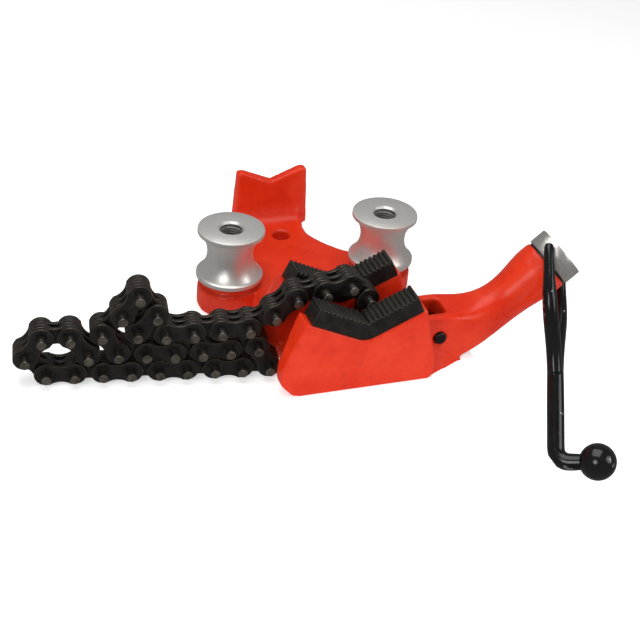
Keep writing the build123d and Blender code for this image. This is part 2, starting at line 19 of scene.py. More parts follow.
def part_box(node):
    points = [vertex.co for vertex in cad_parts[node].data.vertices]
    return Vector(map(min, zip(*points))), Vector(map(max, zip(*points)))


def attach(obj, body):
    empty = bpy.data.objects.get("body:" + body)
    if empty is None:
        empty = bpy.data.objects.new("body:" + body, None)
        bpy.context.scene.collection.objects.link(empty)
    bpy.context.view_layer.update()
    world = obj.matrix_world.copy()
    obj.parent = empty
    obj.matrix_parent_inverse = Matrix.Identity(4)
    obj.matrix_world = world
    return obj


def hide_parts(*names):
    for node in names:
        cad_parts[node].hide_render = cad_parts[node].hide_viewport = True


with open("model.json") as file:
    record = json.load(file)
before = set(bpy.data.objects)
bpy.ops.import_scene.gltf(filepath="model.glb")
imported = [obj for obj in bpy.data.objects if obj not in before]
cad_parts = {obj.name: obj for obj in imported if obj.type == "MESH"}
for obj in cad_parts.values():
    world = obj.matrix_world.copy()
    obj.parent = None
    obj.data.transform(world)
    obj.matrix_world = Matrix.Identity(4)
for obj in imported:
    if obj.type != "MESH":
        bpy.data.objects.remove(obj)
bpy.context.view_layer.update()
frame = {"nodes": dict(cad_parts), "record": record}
MM = 0.001
bodies = frame["record"]["behaviour"]["bodies"]
body_of_node = {node: body for body, nodes in bodies.items() for node in nodes}

# %% [markdown]
# The camera looks down on the vise from a little above, with a long lens so that parallel edges
# stay nearly parallel.  It is described by where it stands, which way it points, and how far it
# is rolled.

# %% Camera
CAMERA_PLACE = Vector((-0.33661, -0.77139, 0.57707))
CAMERA_HEADING = 22.176      # degrees from straight back, towards the right
CAMERA_DOWN = 32.901         # degrees below the horizon
CAMERA_ROLL = 5.359

heading, down, roll = radians(CAMERA_HEADING), radians(CAMERA_DOWN), radians(CAMERA_ROLL)
forward = Vector((sin(heading) * cos(down), cos(heading) * cos(down), -sin(down)))
level_right = forward.cross(Vector((0, 0, 1))).normalized()
right = Matrix.Rotation(-roll, 3, forward) @ level_right
up = right.cross(forward)
camera = bpy.data.objects.new("camera", bpy.data.cameras.new("camera"))
camera.matrix_world = Matrix.Translation(CAMERA_PLACE) @ Matrix(
    (right, up, -forward)
).transposed().to_4x4()
camera.data.sensor_width = 36.0
camera.data.lens = 80.16
camera.data.clip_start = 0.05
bpy.context.collection.objects.link(camera)
bpy.context.scene.camera = camera
bpy.context.scene.view_settings.view_transform = "Standard"
print("camera right", [round(v, 4) for v in right], "up", [round(v, 4) for v in up])

# %% [markdown]
# Most pieces start as an empty bmesh, are shaped with operators, and end as an object at the
# world's origin that rides on one body and stands for one or more CAD nodes.  These helpers
# do the repeated part.  A CAD mesh is a loose set of triangles, so a copy of one is merged
# before anything else is done to it.

# %% Helpers for pieces
MERGE = 2e-6


def make_object(name, bm):
    """Turn a bmesh into an object at the origin."""
    mesh = bpy.data.meshes.new(name)
    bm.to_mesh(mesh)
    bm.free()
    obj = bpy.data.objects.new(name, mesh)
    bpy.context.collection.objects.link(obj)
    return obj


def merged_copy(node):
    """A merged bmesh copy of a CAD node, with flat areas dissolved to single faces."""
    bm = bmesh.new()
    bm.from_mesh(frame["nodes"][node].data)
    bmesh.ops.remove_doubles(bm, verts=bm.verts, dist=MERGE)
    bmesh.ops.dissolve_limit(bm, angle_limit=radians(0.5), verts=bm.verts, edges=bm.edges)
    return bm


def settle(obj):
    """Keep the shape that the modifiers make and drop the modifiers."""
    graph = bpy.context.evaluated_depsgraph_get()
    mesh = bpy.data.meshes.new_from_object(obj.evaluated_get(graph))
    obj.modifiers.clear()
    obj.data = mesh
    return obj


def shade(obj, angle=35.0):
    """Smooth shading that keeps edges sharper than the angle."""
    obj.data.shade_smooth()
    bm = bmesh.new()
    bm.from_mesh(obj.data)
    for edge in bm.edges:
        edge.smooth = not (edge.is_manifold and edge.calc_face_angle(0.0) > radians(angle))
    bm.to_mesh(obj.data)
    bm.free()


def finish_piece(obj, material, slot, *nodes):
    """Give a piece its material and let it stand for its CAD nodes; the slot is not used."""
    if not obj.data.materials:
        obj.data.materials.append(material)
    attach(obj, body_of_node[nodes[0]])
    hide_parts(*nodes)
    print(obj.name, len(obj.data.polygons), "faces, for", ", ".join(nodes))


def round_sharp_edges(bm, width, angle=30.0, segments=2):
    """Bevel every edge that is sharper than the angle."""
    sharp = [e for e in bm.edges if e.is_manifold and e.calc_face_angle(0.0) > radians(angle)]
    bmesh.ops.bevel(
        bm, geom=sharp, offset=width, offset_type="OFFSET", affect="EDGES",
        segments=segments, profile=0.5, clamp_overlap=True, material=-1,
    )


def spun(profile, steps=96):
    """Spin (radius, height) points once round Z; points on the axis close by themselves."""
    bm = bmesh.new()
    points = [bm.verts.new((radius, 0.0, height)) for radius, height in profile]
    edges = [bm.edges.new(pair) for pair in zip(points, points[1:])]
    bmesh.ops.spin(
        bm, geom=points + edges, cent=(0, 0, 0), axis=(0, 0, 1), angle=2 * pi,
        steps=steps, use_merge=True,
    )
    bmesh.ops.remove_doubles(bm, verts=bm.verts, dist=MERGE)
    bmesh.ops.recalc_face_normals(bm, faces=bm.faces)
    return bm


def stand_along(direction, place):
    """Matrix that turns +Z to a direction and moves the origin to a place."""
    turn = Vector((0, 0, 1)).rotation_difference(Vector(direction)).to_matrix().to_4x4()
    return Matrix.Translation(place) @ turn


# %% [markdown]
# Materials are node trees.  Two tiny helpers keep them readable: one adds a node and sets its
# inputs by name, the other makes a material with its Principled shader in place.

# %% Helpers for materials
def add(tree, kind, sockets=None, **settings):
    """Add a node; settings are its properties, sockets are its input values."""
    node = tree.nodes.new("ShaderNode" + kind)
    for key, value in settings.items():
        setattr(node, key, value)
    for key, value in (sockets or {}).items():
        node.inputs[key].default_value = value
    return node


def start_material(name, **sockets):
    """A material with one Principled shader whose constant inputs are set."""
    material = bpy.data.materials.new(name)
    material.use_nodes = True
    shader = material.node_tree.nodes["Principled BSDF"]
    for key, value in sockets.items():
        shader.inputs[key.replace("_", " ")].default_value = value
    return material, material.node_tree, shader


def start_group(name, inputs, outputs):
    """A shader node group with float or vector inputs and float outputs."""
    group = bpy.data.node_groups.new(name, "ShaderNodeTree")
    for label, default in inputs.items():
        kind = "NodeSocketVector" if isinstance(default, tuple) else "NodeSocketFloat"
        socket = group.interface.new_socket(name=label, in_out="INPUT", socket_type=kind)
        socket.default_value = default
    for label in outputs:
        group.interface.new_socket(name=label, in_out="OUTPUT", socket_type="NodeSocketFloat")
    return group, group.nodes.new("NodeGroupInput"), group.nodes.new("NodeGroupOutput")


def use(tree, group, **values):
    """Place a node group in a tree and set its inputs."""
    node = tree.nodes.new("ShaderNodeGroup")
    node.node_tree = group
    for key, value in values.items():
        node.inputs[key.replace("_", " ")].default_value = value
    return node


def math(tree, operation, first, second):
    """A Math node; each side is a socket or a number."""
    node = add(tree, "Math", operation=operation)
    for index, side in enumerate((first, second)):
        if isinstance(side, (int, float)):
            node.inputs[index].default_value = side
        else:
            tree.links.new(side, node.inputs[index])
    return node.outputs[0]


def blend_colors(tree, mask, low, high):
    """Mix two colours, each a socket or a value, by a mask."""
    node = add(tree, "Mix", data_type="RGBA")
    tree.links.new(mask, node.inputs["Factor"])
    for index, color in ((6, low), (7, high)):
        if isinstance(color, tuple):
            node.inputs[index].default_value = (*color, 1.0)
        else:
            tree.links.new(color, node.inputs[index])
    return node.outputs[2]


def blend_values(tree, mask, low, high):
    """low + mask * (high - low); each side is a number."""
    return math(tree, "ADD", math(tree, "MULTIPLY", mask, high - low), low)


def bump(tree, height, distance, shader, strength=1.0, below=None):
    """Feed a height into the shader's normal, on top of another bump if there is one."""
    node = add(tree, "Bump", {"Distance": distance, "Strength": strength})
    tree.links.new(height, node.inputs["Height"])
    if below is not None:
        tree.links.new(below.outputs["Normal"], node.inputs["Normal"])
    tree.links.new(node.outputs["Normal"], shader.inputs["Normal"])
    return node


# %% [markdown]
# Four effects turn up on several materials, so each is a node group built once:
#
# * **Smudges**: slow and fast noise added up, for roughness and colour that drift.
# * **Cast Skin**: the lumps and pits that sand leaves in an iron casting.
# * **Edge Wear**: a mask that is bright along edges, broken up by noise; it marks edges rubbed bare, and
#   on the chain plates it also places a painted highlight.
# * **Turned Rings**: the fine grooves a lathe tool leaves round an axis.

# %% Node group: smudges
smudges, given, result = start_group("Smudges", {"Size": 0.01, "Contrast": 1.0}, ["Mask"])
place = add(smudges, "TexCoord")
scale = math(smudges, "DIVIDE", 1.0, given.outputs["Size"])
slow = add(smudges, "TexNoise", {"Detail": 3.0, "Roughness": 0.6})
fast = add(smudges, "TexNoise", {"Detail": 5.0, "Roughness": 0.7})
for noise, factor in ((slow, 1.0), (fast, 6.0)):
    smudges.links.new(place.outputs["Object"], noise.inputs["Vector"])
    smudges.links.new(math(smudges, "MULTIPLY", scale, factor), noise.inputs["Scale"])
both = math(smudges, "ADD", math(smudges, "MULTIPLY", slow.outputs["Fac"], 0.65),
            math(smudges, "MULTIPLY", fast.outputs["Fac"], 0.35))
spread = math(smudges, "MULTIPLY", math(smudges, "SUBTRACT", both, 0.5), given.outputs["Contrast"])
clamp = add(smudges, "Clamp")
smudges.links.new(math(smudges, "ADD", math(smudges, "MULTIPLY", spread, 3.0), 0.5),
                  clamp.inputs["Value"])
smudges.links.new(clamp.outputs["Result"], result.inputs["Mask"])
print("group", smudges.name)

# %% [markdown]
# **Cast Skin** adds two sizes of noise, the slow one for lumps and the fast one for sand grain,
# and takes away a little where round cells make a pit.

# %% Node group: cast skin
cast_skin, given, result = start_group(
    "Cast Skin", {"Lump Size": 0.004, "Grain Size": 0.0007}, ["Height", "Pits"]
)
place = add(cast_skin, "TexCoord")
layers = []
for label, detail in (("Lump Size", 2.0), ("Grain Size", 3.0)):
    noise = add(cast_skin, "TexNoise", {"Detail": detail, "Roughness": 0.55})
    cast_skin.links.new(place.outputs["Object"], noise.inputs["Vector"])
    cast_skin.links.new(math(cast_skin, "DIVIDE", 1.0, given.outputs[label]), noise.inputs["Scale"])
    layers.append(noise.outputs["Fac"])
cells = add(cast_skin, "TexVoronoi", {"Randomness": 1.0}, feature="SMOOTH_F1")
cast_skin.links.new(place.outputs["Object"], cells.inputs["Vector"])
cast_skin.links.new(math(cast_skin, "DIVIDE", 0.6, given.outputs["Lump Size"]), cells.inputs["Scale"])
pit = add(cast_skin, "MapRange", {"From Min": 0.05, "From Max": 0.22, "To Min": 1.0, "To Max": 0.0})
cast_skin.links.new(cells.outputs["Distance"], pit.inputs["Value"])
height = math(cast_skin, "ADD", math(cast_skin, "MULTIPLY", layers[0], 0.75),
              math(cast_skin, "MULTIPLY", layers[1], 0.18))
height = math(cast_skin, "SUBTRACT", height, math(cast_skin, "MULTIPLY", pit.outputs["Result"], 0.12))
cast_skin.links.new(height, result.inputs["Height"])
cast_skin.links.new(pit.outputs["Result"], result.inputs["Pits"])
print("group", cast_skin.name)

# %% [markdown]
# **Edge Wear** compares the true normal with one that is rounded off over the edges.  Where the
# two differ there is an edge, and noise breaks the line up into patches.

# %% Node group: edge wear
edge_wear, given, result = start_group(
    "Edge Wear", {"Width": 0.0006, "Amount": 0.5, "Break Up": 0.003}, ["Mask"]
)
rounded = add(edge_wear, "Bevel", samples=4)
edge_wear.links.new(given.outputs["Width"], rounded.inputs["Radius"])
true_normal = add(edge_wear, "NewGeometry")
facing = add(edge_wear, "VectorMath", operation="DOT_PRODUCT")
edge_wear.links.new(rounded.outputs["Normal"], facing.inputs[0])
edge_wear.links.new(true_normal.outputs["Normal"], facing.inputs[1])
edge = math(edge_wear, "SUBTRACT", 1.0, facing.outputs["Value"])
place = add(edge_wear, "TexCoord")
noise = add(edge_wear, "TexNoise", {"Detail": 4.0, "Roughness": 0.65})
edge_wear.links.new(place.outputs["Object"], noise.inputs["Vector"])
edge_wear.links.new(math(edge_wear, "DIVIDE", 1.0, given.outputs["Break Up"]), noise.inputs["Scale"])
broken = math(edge_wear, "MULTIPLY", edge, math(edge_wear, "MULTIPLY", noise.outputs["Fac"], 12.0))
gain = math(edge_wear, "MULTIPLY", broken, given.outputs["Amount"])
clamp = add(edge_wear, "Clamp")
edge_wear.links.new(gain, clamp.inputs["Value"])
edge_wear.links.new(clamp.outputs["Result"], result.inputs["Mask"])
print("group", edge_wear.name)

# %% [markdown]
# **Turned Rings** counts turns by the distance from the axis plus the height along it, so that
# both end faces and round walls get rings.  One-dimensional noise makes some rings deeper.

# %% Node group: turned rings
turned_rings, given, result = start_group(
    "Turned Rings", {"Coordinates": (0.0, 0.0, 0.0), "Pitch": 0.0004}, ["Height", "Streak"]
)
split = add(turned_rings, "SeparateXYZ")
turned_rings.links.new(given.outputs["Coordinates"], split.inputs[0])
squares = [math(turned_rings, "MULTIPLY", split.outputs[i], split.outputs[i]) for i in (0, 1)]
radius = math(turned_rings, "SQRT", math(turned_rings, "ADD", *squares), 0.0)
along = math(turned_rings, "ADD", radius, split.outputs[2])
turns = math(turned_rings, "DIVIDE", along, given.outputs["Pitch"])
wave = math(turned_rings, "SINE", math(turned_rings, "MULTIPLY", turns, 2 * pi), 0.0)
uneven = add(turned_rings, "TexNoise", {"Scale": 0.35, "Detail": 3.0}, noise_dimensions="1D")
turned_rings.links.new(turns, uneven.inputs["W"])
turned_rings.links.new(
    math(turned_rings, "ADD", math(turned_rings, "MULTIPLY", wave, 0.3), uneven.outputs["Fac"]),
    result.inputs["Height"],
)
turned_rings.links.new(uneven.outputs["Fac"], result.inputs["Streak"])
print("group", turned_rings.name)

# %% [markdown]
# **Casting paint.** Thick orange-red enamel over a sand casting.  The paint is glossy but the
# iron under it is lumpy, so reflections wander.  A clear coat over a slightly rougher base
# gives the two-layer gloss of enamel.  The colour drifts a little, and goes deeper where paint
# pools in pits.

# %% Material: casting paint
paint, tree, shader = start_material(
    "casting paint", Coat_Weight=0.12, Coat_Roughness=0.2, IOR=1.5, Specular_IOR_Level=0.22,
)
skin = use(tree, cast_skin, Lump_Size=0.0075, Grain_Size=0.0012)
drift = use(tree, smudges, Size=0.03, Contrast=1.0)
fresh = blend_colors(tree, drift.outputs["Mask"], (0.66, 0.022, 0.005), (0.80, 0.044, 0.009))
pooled = blend_colors(
    tree, math(tree, "MULTIPLY", skin.outputs["Pits"], 0.22), fresh, (0.40, 0.012, 0.003)
)
tree.links.new(pooled, shader.inputs["Base Color"])
tree.links.new(blend_values(tree, drift.outputs["Mask"], 0.26, 0.40), shader.inputs["Roughness"])
bump(tree, skin.outputs["Height"], 0.0009, shader, 0.55)
print("material", paint.name)

# %% [markdown]
# **Jaw steel.** Cast jaws with a black-brown oxide skin.  The tops of the teeth are rubbed to
# grey metal and carry small bright chips.

# %% Material: jaw steel
jaw_steel, tree, shader = start_material("jaw steel", Specular_IOR_Level=0.3)
skin = use(tree, cast_skin, Lump_Size=0.003, Grain_Size=0.0006)
drift = use(tree, smudges, Size=0.009, Contrast=1.3)
wear = use(tree, edge_wear, Width=0.0007, Amount=0.55, Break_Up=0.002)
oxide = blend_colors(tree, drift.outputs["Mask"], (0.006, 0.0055, 0.005), (0.020, 0.017, 0.014))
rubbed = blend_colors(tree, wear.outputs["Mask"], oxide, (0.26, 0.22, 0.17))
tree.links.new(rubbed, shader.inputs["Base Color"])
tree.links.new(blend_values(tree, drift.outputs["Mask"], 0.42, 0.62), shader.inputs["Roughness"])
tree.links.new(blend_values(tree, wear.outputs["Mask"], 0.15, 0.95), shader.inputs["Metallic"])
bump(tree, skin.outputs["Height"], 0.0005, shader, 0.6)
print("material", jaw_steel.name)

# %% [markdown]
# ** Chain steel.** Stamped plates, blackened and oiled. Their edges are painted tan-brown: partly a
# rubbed film, partly a painted highlight along the edges.  The pins' ends are bare, peened steel,
# so they get a lighter finish.

# %% Material: chain plates and pin ends
def chain_finish(name, dark, light, rubbed_edge_and_highlight_color, rough, metal, amount):
    """Oiled steel whose edges get another colour: rubbed wear, and on the chain plates also a painted
    highlight.
    """
    material, tree, shader = start_material(name, Specular_IOR_Level=0.5)
    drift = use(tree, smudges, Size=0.006, Contrast=1.3)
    fine = use(tree, cast_skin, Lump_Size=0.0012, Grain_Size=0.0003)
    wear = use(tree, edge_wear, Width=0.0005, Amount=amount, Break_Up=0.0018)
    film = blend_colors(tree, drift.outputs["Mask"], dark, light)
    # The edge colour is rubbed wear; on the chain plates it is also a painted highlight along the edges.
    rubbed = blend_colors(tree, wear.outputs["Mask"], film, rubbed_edge_and_highlight_color)
    tree.links.new(rubbed, shader.inputs["Base Color"])
    tree.links.new(blend_values(tree, drift.outputs["Mask"], *rough), shader.inputs["Roughness"])
    tree.links.new(blend_values(tree, wear.outputs["Mask"], *metal), shader.inputs["Metallic"])
    bump(tree, fine.outputs["Height"], 0.0002, shader, 0.5)
    print("material", name)
    return material


# The tan-brown edge colour on the plates is a painted highlight along the edges as well as a rubbed
# film.
plate_steel = chain_finish(
    "chain plate steel", (0.005, 0.0048, 0.005), (0.018, 0.014, 0.011), (0.34, 0.23, 0.14),
    (0.30, 0.46), (0.2, 0.9), 0.75,
)
pin_steel = chain_finish(
    "chain pin ends", (0.09, 0.078, 0.062), (0.24, 0.21, 0.17), (0.55, 0.50, 0.42),
    (0.30, 0.48), (0.85, 1.0), 0.6,
)
black_pin_steel = chain_finish(
    "black pin steel", (0.012, 0.012, 0.012), (0.030, 0.029, 0.028), (0.22, 0.21, 0.20),
    (0.28, 0.42), (0.6, 0.9), 0.5,
)

# %% [markdown]
# **Turned metal.** Rollers and nut come off a lathe.  Fine rings round their own axis catch
# the light as bands.  A Mapping node moves the pattern's origin onto the axis, and for the
# tilted nut it also turns the pattern.

# %% Material: turned metal
def turned_finish(name, origin, tilt, color_low, color_high, rough, pitch, depth, metal):
    """Bright metal with lathe rings round an axis through the origin, tilted about Y."""
    material, tree, shader = start_material(name, Metallic=metal)
    place = add(tree, "TexCoord")
    mapping = add(tree, "Mapping", vector_type="TEXTURE")
    mapping.inputs["Location"].default_value = origin
    mapping.inputs["Rotation"].default_value = (0.0, tilt, 0.0)
    tree.links.new(place.outputs["Object"], mapping.inputs["Vector"])
    rings = use(tree, turned_rings, Pitch=pitch)
    tree.links.new(mapping.outputs["Vector"], rings.inputs["Coordinates"])
    drift = use(tree, smudges, Size=0.012, Contrast=1.0)
    mask = math(tree, "MULTIPLY", math(tree, "ADD", rings.outputs["Streak"], drift.outputs["Mask"]), 0.5)
    tree.links.new(blend_colors(tree, mask, color_low, color_high), shader.inputs["Base Color"])
    tree.links.new(blend_values(tree, mask, *rough), shader.inputs["Roughness"])
    bump(tree, rings.outputs["Height"], depth, shader, 0.5)
    print("material", name)
    return material


# %% [markdown]
# **Crank enamel.** Brushed gloss black over a forged rod.  The paint has flowed thick, so its
# surface waves gently.  A few chips show bare metal: a thresholded noise picks them out, and
# the same mask drops the surface a little.

# %% Material: crank enamel
enamel, tree, shader = start_material(
    "crank enamel", Coat_Weight=0.15, Coat_Roughness=0.08, Specular_IOR_Level=0.3,
)
flow = use(tree, cast_skin, Lump_Size=0.008, Grain_Size=0.0015)
drift = use(tree, smudges, Size=0.02, Contrast=1.0)
place = add(tree, "TexCoord")
chip_noise = add(tree, "TexNoise", {"Scale": 95.0, "Detail": 3.0, "Roughness": 0.55})
tree.links.new(place.outputs["Object"], chip_noise.inputs["Vector"])
chips = add(tree, "MapRange", {"From Min": 0.665, "From Max": 0.68})
tree.links.new(chip_noise.outputs["Fac"], chips.inputs["Value"])
black = blend_colors(tree, drift.outputs["Mask"], (0.003, 0.0032, 0.0036), (0.008, 0.008, 0.009))
tree.links.new(blend_colors(tree, chips.outputs["Result"], black, (0.42, 0.41, 0.40)),
               shader.inputs["Base Color"])
tree.links.new(blend_values(tree, chips.outputs["Result"], 0.16, 0.42), shader.inputs["Roughness"])
tree.links.new(chips.outputs["Result"], shader.inputs["Metallic"])
below = bump(tree, flow.outputs["Height"], 0.0005, shader, 0.35)
bump(tree, math(tree, "SUBTRACT", 1.0, chips.outputs["Result"]), 0.0001, shader, 1.0, below)
print("material", enamel.name)

# %% [markdown]
# **Body casting.** A real casting has no sharp corners: the sand mould rounds them all.  The
# CAD body has crisp edges, so a merged copy is remeshed into an even skin of small squares,
# and a few rounds of smoothing wear the corners down to a radius of a couple of millimetres.
# Flat faces and holes keep their places.

# %% Piece: body casting
SKIN_SIZE = 1.4 * MM
CORNER_ROUNDS = 7            # rounds of smoothing
bm = bmesh.new()
bm.from_mesh(frame["nodes"]["body_casting"].data)
bmesh.ops.remove_doubles(bm, verts=bm.verts, dist=MERGE)
casting = make_object("body_casting_painted", bm)
skin = casting.modifiers.new("sand-cast skin", "REMESH")
skin.mode = "VOXEL"
skin.voxel_size = SKIN_SIZE
soften = casting.modifiers.new("soft corners", "SMOOTH")
soften.factor = 0.5
soften.iterations = CORNER_ROUNDS
settle(casting)
casting.data.shade_smooth()
finish_piece(casting, paint, "casting_paint", "body_casting")

# %% [markdown]
# **Jaws.** The teeth are cast, so their crests are round.  A narrow bevel on every sharp edge
# of a merged copy gives them a soft crest that catches the light.

# %% Pieces: jaws
CREST_ROUND = 0.4 * MM

for node in ("front_jaw", "rear_jaw"):
    bm = merged_copy(node)
    round_sharp_edges(bm, CREST_ROUND, 20.0, 3)
    jaw = make_object(f"{node}_toothed", bm)
    shade(jaw, 40.0)
    finish_piece(jaw, jaw_steel, "jaw_steel", node)

# %% [markdown]
# **Chain links.** An outer link is three plates on two riveted pins, an inner link is two
# plates.  Stamping leaves a small round on each plate's edge, and the pins' ends are
# chamfered.  Each link stays a piece of its own, because a chain is its links.  Within an
# outer link, the loose parts that reach furthest across are the pins; their end faces get the
# bare steel.

# %% Pieces: chain links
PLATE_ROUND = 0.35 * MM
PIN_REACH = 15.0 * MM        # a part wider than this across the chain is a pin
PIN_END = 1.1 * MM           # bare steel this far from a pin's end


def loose_parts(bm):
    """Groups of faces that hang together."""
    left = set(bm.faces)
    while left:
        part, waiting = set(), [left.pop()]
        while waiting:
            face = waiting.pop()
            part.add(face)
            for other in (f for edge in face.edges for f in edge.link_faces):
                if other in left:
                    left.remove(other)
                    waiting.append(other)
        yield part


def link_piece(node):
    bm = merged_copy(node)
    round_sharp_edges(bm, PLATE_ROUND, 35.0, 2)
    bm.faces.ensure_lookup_table()
    for part in loose_parts(bm):
        ys = [vert.co.y for face in part for vert in face.verts]
        low, high = min(ys), max(ys)
        for face in part:
            y = face.calc_center_median().y
            bare = high - low > PIN_REACH and min(y - low, high - y) < PIN_END
            face.material_index = 1 if bare else 0
    link = make_object(f"{node}_plates", bm)
    link.data.materials.append(plate_steel)
    link.data.materials.append(pin_steel)
    shade(link, 40.0)
    return link


for node in sorted(n for n in frame["nodes"] if n.startswith("chain_link")):
    finish_piece(link_piece(node), plate_steel, "chain_steel", node)

# %% [markdown]
# ** Bending rollers.** Each is one turned profile: a rim, a deep round groove, a second rim,
# and a bore with a thread in its top.  The thread is a small triangle spun round the axis
# while it climbs one pitch a turn, which is how a lathe cuts it.  The bore and its thread get
# a darker, rougher metal: painted shade for the deep hole, as well as the oil and dirt they hold.

# %% Pieces: bending rollers
# The bore's dark colour is painted shade down the deep hole, together with oil and dirt.
bore_shade_and_oil_metal = chain_finish(
    "threaded bore", (0.10, 0.095, 0.085), (0.20, 0.19, 0.17), (0.42, 0.40, 0.37),
    (0.45, 0.60), (0.5, 0.8), 0.5,
)
ROLLER_RIM = 3.8 * MM
ROLLER_WAIST = 17.0 * MM
BORE = 8.5 * MM
BORE_DEPTH = 24.0 * MM
THREAD_PITCH = 1.9 * MM
THREAD_DEPTH = 0.95 * MM
STUD = 7.0 * MM
CORNER = 0.7 * MM
LIP = 1.2 * MM               # the groove starts this far inside the rim
BORE_CHAMFER = 1.5 * MM
THREAD_START = 1.6 * MM      # below the top of the roller
THREAD_LENGTH = 21.0 * MM
THREAD_TURNS = 10
GROOVE_STEPS = 28


def groove_points(outer, low, high):
    """Points of the round groove from its lower to its upper lip."""
    half = (high - low) / 2
    depth = outer - ROLLER_WAIST
    arc = (half * half + depth * depth) / (2 * depth)
    reach = asin(half / arc)
    for i in range(GROOVE_STEPS + 1):
        angle = -reach + 2 * reach * i / GROOVE_STEPS
        yield (ROLLER_WAIST + arc * (1 - cos(angle)), (low + high) / 2 + arc * sin(angle))


def roller_profile(outer, bottom, top):
    lip = outer - LIP
    points = [(STUD, bottom), (outer - CORNER, bottom), (outer - 0.2 * CORNER, bottom + 0.3 * CORNER),
              (outer, bottom + CORNER), (outer, bottom + ROLLER_RIM - CORNER)]
    points += groove_points(lip, bottom + ROLLER_RIM, top - ROLLER_RIM)
    points += [(outer, top - ROLLER_RIM + CORNER), (outer, top - CORNER),
               (outer - 0.2 * CORNER, top - 0.3 * CORNER), (outer - CORNER, top),
               (BORE + BORE_CHAMFER, top), (BORE, top - BORE_CHAMFER), (BORE, top - BORE_DEPTH),
               (STUD, top - BORE_DEPTH - 1.0 * MM), (STUD, bottom)]
    return points


def thread(top, length, turns, steps_per_turn=48):
    """A helical ridge whose foot is sunk a little into the wall of the bore."""
    bm = bmesh.new()
    start = top - length
    foot = BORE + 0.1 * MM
    corners = [bm.verts.new((foot, 0, start)),
               bm.verts.new((BORE - THREAD_DEPTH, 0, start + THREAD_PITCH * 0.45)),
               bm.verts.new((foot, 0, start + THREAD_PITCH * 0.9))]
    face = bm.faces.new(corners)
    bmesh.ops.spin(
        bm, geom=[face, *face.edges, *corners], cent=(0, 0, 0), axis=(0, 0, 1), angle=2 * pi * turns,
        steps=turns * steps_per_turn, dvec=(0, 0, THREAD_PITCH / steps_per_turn),
    )
    bmesh.ops.recalc_face_normals(bm, faces=bm.faces)
    return bm


for side in ("left", "right"):
    low, high = (Vector(corner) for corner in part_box(f"{side}_roller"))
    centre = (low + high) / 2
    outer = (high.x - low.x) / 2
    aluminium = turned_finish(
        f"{side} roller aluminium", (centre.x, centre.y, 0.0), 0.0,
        (0.66, 0.645, 0.61), (0.82, 0.805, 0.77), (0.42, 0.30), 0.45 * MM, 0.00006, 0.72,
    )
    bm = spun(roller_profile(outer, low.z, high.z), 128)
    bmesh.ops.translate(bm, vec=(centre.x, centre.y, 0), verts=bm.verts)
    # Faces inside the bore get the darker metal, which paints the shade in the hole.
    for face in bm.faces:
        middle = face.calc_center_median()
        off_axis = Vector((middle.x - centre.x, middle.y - centre.y)).length
        face.material_index = 1 if off_axis < BORE + 0.2 * MM and middle.z < high.z - 1.4 * MM else 0
    roller = make_object(f"{side}_roller_turned", bm)
    roller.data.materials.append(aluminium)
    roller.data.materials.append(bore_shade_and_oil_metal)
    shade(roller, 30.0)
    finish_piece(roller, aluminium, "roller_aluminium", f"{side}_roller")
    bm = thread(high.z - THREAD_START, THREAD_LENGTH, THREAD_TURNS)
    bmesh.ops.translate(bm, vec=(centre.x, centre.y, 0), verts=bm.verts)
    ridge = make_object(f"{side}_roller_thread", bm)
    ridge.data.materials.append(bore_shade_and_oil_metal)
    shade(ridge, 50.0)
    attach(ridge, body_of_node[f"{side}_roller"])

# %% [markdown]
# **Feed nut.** A bright turned ring on the end of the arm.  It is spun upright and then stood
# along the screw's axis.

# %% Piece: feed nut
SCREW_TILT = radians(41.0)
NUT_MIDDLE = Vector((0.156, 0.0, 0.068))
SCREW_DIRECTION = Vector((cos(SCREW_TILT), 0.0, sin(SCREW_TILT)))
NUT_RADIUS = 19.75 * MM
NUT_HALF = 6.5 * MM
NUT_BORE = 8.05 * MM
NUT_EDGE = 0.9 * MM

profile = [(NUT_BORE, -NUT_HALF + NUT_EDGE), (NUT_BORE + NUT_EDGE, -NUT_HALF),
           (NUT_RADIUS - NUT_EDGE, -NUT_HALF), (NUT_RADIUS - 0.3 * NUT_EDGE, -NUT_HALF + 0.3 * NUT_EDGE),
           (NUT_RADIUS, -NUT_HALF + NUT_EDGE), (NUT_RADIUS, NUT_HALF - NUT_EDGE),
           (NUT_RADIUS - 0.3 * NUT_EDGE, NUT_HALF - 0.3 * NUT_EDGE), (NUT_RADIUS - NUT_EDGE, NUT_HALF),
           (NUT_BORE + 2 * NUT_EDGE, NUT_HALF), (NUT_BORE, NUT_HALF - 2 * NUT_EDGE),
           (NUT_BORE, -NUT_HALF + NUT_EDGE)]
bm = spun(profile, 128)
bmesh.ops.transform(bm, matrix=stand_along(SCREW_DIRECTION, NUT_MIDDLE), verts=bm.verts)
nut = make_object("feed_nut_turned", bm)
shade(nut, 30.0)
nut_steel = turned_finish(
    "feed nut steel", tuple(NUT_MIDDLE), pi / 2 - SCREW_TILT,
    (0.46, 0.44, 0.41), (0.74, 0.72, 0.68), (0.36, 0.24), 0.55 * MM, 0.00009, 0.85,
)
finish_piece(nut, nut_steel, "nut_steel", "feed_nut")

# %% [markdown]
# **Crank handle.** A round bar, split into two tines that spread to straddle the barrel.  Each
# tine is a curve whose thickness changes along the way; the shank and its bend are a third
# curve.  Turned to meshes and put together, a fine remesh welds them as a smith would, and
# leaves the shallow seam where the two strands run side by side.

# %% Piece: crank handle
CRANK_SPIN = radians(60.0)
CRANK_FOLD = radians(128.3)
CRANK_LENGTH = 149.3 * MM
CRANK_LEG = 29.1 * MM
WELD_SIZE = 0.55 * MM
FORGED_ROUNDS = 5            # rounds of smoothing

